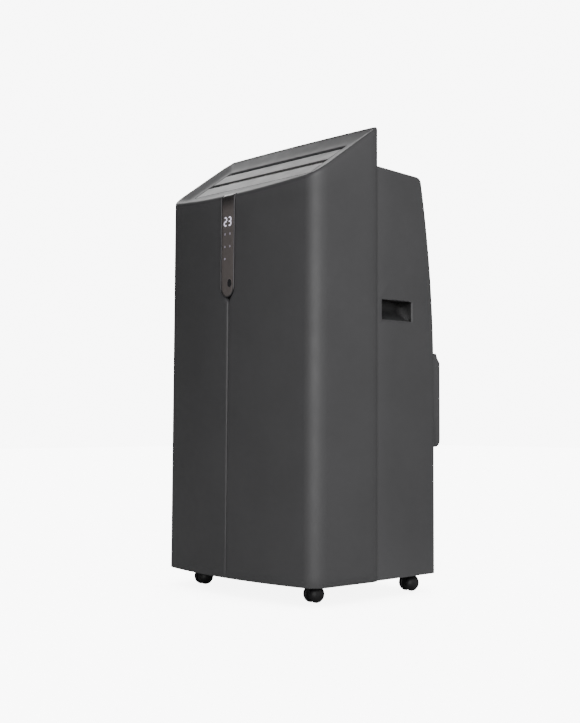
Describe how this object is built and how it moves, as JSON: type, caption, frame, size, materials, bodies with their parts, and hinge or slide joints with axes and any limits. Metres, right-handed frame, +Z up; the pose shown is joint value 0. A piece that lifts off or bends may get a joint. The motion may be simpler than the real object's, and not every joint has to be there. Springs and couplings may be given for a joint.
{
  "type": "portable air conditioner",
  "caption": "Free-standing portable air conditioner on casters, with a slanted top louvre outlet, a front display strip, side handle pockets and a rear exhaust outlet.",
  "frame": {"origin": "on the floor under the middle of the overall box", "axes": "+Z up; -Y is the front with the display strip, +Y the back with the air inlets and exhaust, +X is on the right of someone who faces the front"},
  "size_m": [0.3922, 0.3238, 0.765],
  "materials": {
    "casing_plastic": "satin, fine grain",
    "black_plastic": "satin",
    "wheel_nylon": "satin",
    "display_gloss": "gloss",
    "trim_metal": "bright",
    "rubber": "matt",
    "steel": "galvanised",
    "copper": "bare copper tube",
    "fins": "bare fins",
    "white_plastic": "matt",
    "circuit_board": "solder mask",
    "filter_mesh": "woven nylon mesh in a frame",
    "black_enamel": "semi-gloss"
  },
  "bodies": {
    "chassis": {"front_panel_left": "casing_plastic", "front_panel_right": "casing_plastic", "top_deck": "casing_plastic", "rear_side_left": "casing_plastic", "rear_side_right": "casing_plastic", "rear_back_panel": "casing_plastic", "rear_top_panel": "casing_plastic", "handle_cup_left": "casing_plastic", "handle_cup_right": "casing_plastic", "exhaust_outlet": "casing_plastic", "base_pan": "black_plastic", "centre_strip": "black_plastic", "cord_inlet_bush": "black_plastic", "display_cover": "display_gloss", "display_trim": "trim_metal", "display_board": "circuit_board", "control_board": "circuit_board", "outlet_duct": "white_plastic", "partition_tray": "white_plastic", "upper_scroll": "white_plastic", "lower_scroll": "white_plastic", "exhaust_elbow": "white_plastic", "louvre_motor": "steel", "upper_blower_motor": "steel", "lower_blower_motor": "steel", "electrical_box": "steel", "run_capacitor": "steel", "evaporator_coil": "fins", "condenser_coil": "fins", "compressor": "black_enamel", "suction_accumulator": "black_enamel", "compressor_foot_1": "rubber", "compressor_foot_2": "rubber", "compressor_foot_3": "rubber", "discharge_pipe": "copper", "suction_pipe": "copper"},
    "louvre_upper": {"louvre_blade_upper": "casing_plastic"},
    "louvre_lower": {"louvre_blade_lower": "casing_plastic"},
    "louvre_link": {"louvre_link_bar": "white_plastic"},
    "vane_1": {"guide_vane_1": "black_plastic"},
    "vane_2": {"guide_vane_2": "black_plastic"},
    "vane_3": {"guide_vane_3": "black_plastic"},
    "vane_4": {"guide_vane_4": "black_plastic"},
    "upper_blower": {"upper_blower_wheel": "white_plastic"},
    "lower_blower": {"lower_blower_wheel": "white_plastic"},
    "upper_intake": {"upper_inlet_grille": "casing_plastic", "upper_filter": "filter_mesh"},
    "lower_intake": {"lower_inlet_grille": "casing_plastic", "lower_filter": "filter_mesh"},
    "upper_drain": {"upper_drain_plug": "rubber"},
    "lower_drain": {"lower_drain_plug": "rubber"},
    "swivel_front_left": {"caster_body_front_left": "black_plastic"},
    "roll_front_left": {"caster_wheels_front_left": "wheel_nylon"},
    "swivel_front_right": {"caster_body_front_right": "black_plastic"},
    "roll_front_right": {"caster_wheels_front_right": "wheel_nylon"},
    "swivel_rear_left": {"caster_body_rear_left": "black_plastic"},
    "roll_rear_left": {"caster_wheels_rear_left": "wheel_nylon"},
    "swivel_rear_right": {"caster_body_rear_right": "black_plastic"},
    "roll_rear_right": {"caster_wheels_rear_right": "wheel_nylon"}
  },
  "joints": [
    {"name": "louvre_tilt", "type": "hinge", "parent": "chassis", "child": "louvre_upper", "pos_m": [0, -0.04958, 0.71243], "axis": [-1, 0, 0], "range_deg": [0, 80]},
    {"name": "louvre_lower_tilt", "type": "hinge", "parent": "chassis", "child": "louvre_lower", "pos_m": [0, -0.0894, 0.68422], "axis": [-1, 0, 0], "range_deg": [0, 80]},
    {"name": "louvre_link_turn", "type": "hinge", "parent": "louvre_upper", "child": "louvre_link", "pos_m": [-0.1637, -0.04322, 0.70345], "axis": [-1, 0, 0], "range_deg": [-80, 0]},
    {"name": "vane_swing_1", "type": "hinge", "parent": "chassis", "child": "vane_1", "pos_m": [-0.105, -0.0705, 0.636], "axis": [0, 1, 0], "range_deg": [-35, 35]},
    {"name": "vane_swing_2", "type": "hinge", "parent": "chassis", "child": "vane_2", "pos_m": [-0.035, -0.0705, 0.636], "axis": [0, 1, 0], "range_deg": [-35, 35]},
    {"name": "vane_swing_3", "type": "hinge", "parent": "chassis", "child": "vane_3", "pos_m": [0.035, -0.0705, 0.636], "axis": [0, 1, 0], "range_deg": [-35, 35]},
    {"name": "vane_swing_4", "type": "hinge", "parent": "chassis", "child": "vane_4", "pos_m": [0.105, -0.0705, 0.636], "axis": [0, 1, 0], "range_deg": [-35, 35]},
    {"name": "upper_blower_spin", "type": "hinge", "parent": "chassis", "child": "upper_blower", "pos_m": [0, -0.069, 0.513], "axis": [0, 1, 0], "continuous": true},
    {"name": "lower_blower_spin", "type": "hinge", "parent": "chassis", "child": "lower_blower", "pos_m": [-0.062, 0.049, 0.315], "axis": [0, 1, 0], "continuous": true},
    {"name": "upper_intake_pull", "type": "slide", "parent": "chassis", "child": "upper_intake", "axis": [0, 1, 0], "range_m": [0, 0.08]},
    {"name": "lower_intake_pull", "type": "slide", "parent": "chassis", "child": "lower_intake", "axis": [0, 1, 0], "range_m": [0, 0.08]},
    {"name": "upper_drain_pull", "type": "slide", "parent": "chassis", "child": "upper_drain", "axis": [0, 1, 0], "range_m": [0, 0.03]},
    {"name": "lower_drain_pull", "type": "slide", "parent": "chassis", "child": "lower_drain", "axis": [0, 1, 0], "range_m": [0, 0.03]},
    {"name": "swivel_front_left", "type": "hinge", "parent": "chassis", "child": "swivel_front_left", "pos_m": [-0.1427, -0.1055, 0.029], "axis": [0, 0, 1], "continuous": true},
    {"name": "roll_front_left", "type": "hinge", "parent": "swivel_front_left", "child": "roll_front_left", "pos_m": [-0.1427, -0.0975, 0.014], "axis": [1, 0, 0], "continuous": true},
    {"name": "swivel_front_right", "type": "hinge", "parent": "chassis", "child": "swivel_front_right", "pos_m": [0.1427, -0.1055, 0.029], "axis": [0, 0, 1], "continuous": true},
    {"name": "roll_front_right", "type": "hinge", "parent": "swivel_front_right", "child": "roll_front_right", "pos_m": [0.1427, -0.0975, 0.014], "axis": [1, 0, 0], "continuous": true},
    {"name": "swivel_rear_left", "type": "hinge", "parent": "chassis", "child": "swivel_rear_left", "pos_m": [-0.1528, 0.1006, 0.029], "axis": [0, 0, 1], "continuous": true},
    {"name": "roll_rear_left", "type": "hinge", "parent": "swivel_rear_left", "child": "roll_rear_left", "pos_m": [-0.1528, 0.1086, 0.014], "axis": [1, 0, 0], "continuous": true},
    {"name": "swivel_rear_right", "type": "hinge", "parent": "chassis", "child": "swivel_rear_right", "pos_m": [0.1528, 0.1006, 0.029], "axis": [0, 0, 1], "continuous": true},
    {"name": "roll_rear_right", "type": "hinge", "parent": "swivel_rear_right", "child": "roll_rear_right", "pos_m": [0.1528, 0.1086, 0.014], "axis": [1, 0, 0], "continuous": true}
  ],
  "couplings": [
    {"joint": "louvre_lower_tilt", "follows": "louvre_tilt", "ratio": 1},
    {"joint": "louvre_link_turn", "follows": "louvre_tilt", "ratio": -1},
    {"joint": "vane_swing_2", "follows": "vane_swing_1", "ratio": 1},
    {"joint": "vane_swing_3", "follows": "vane_swing_1", "ratio": 1},
    {"joint": "vane_swing_4", "follows": "vane_swing_1", "ratio": 1}
  ]
}
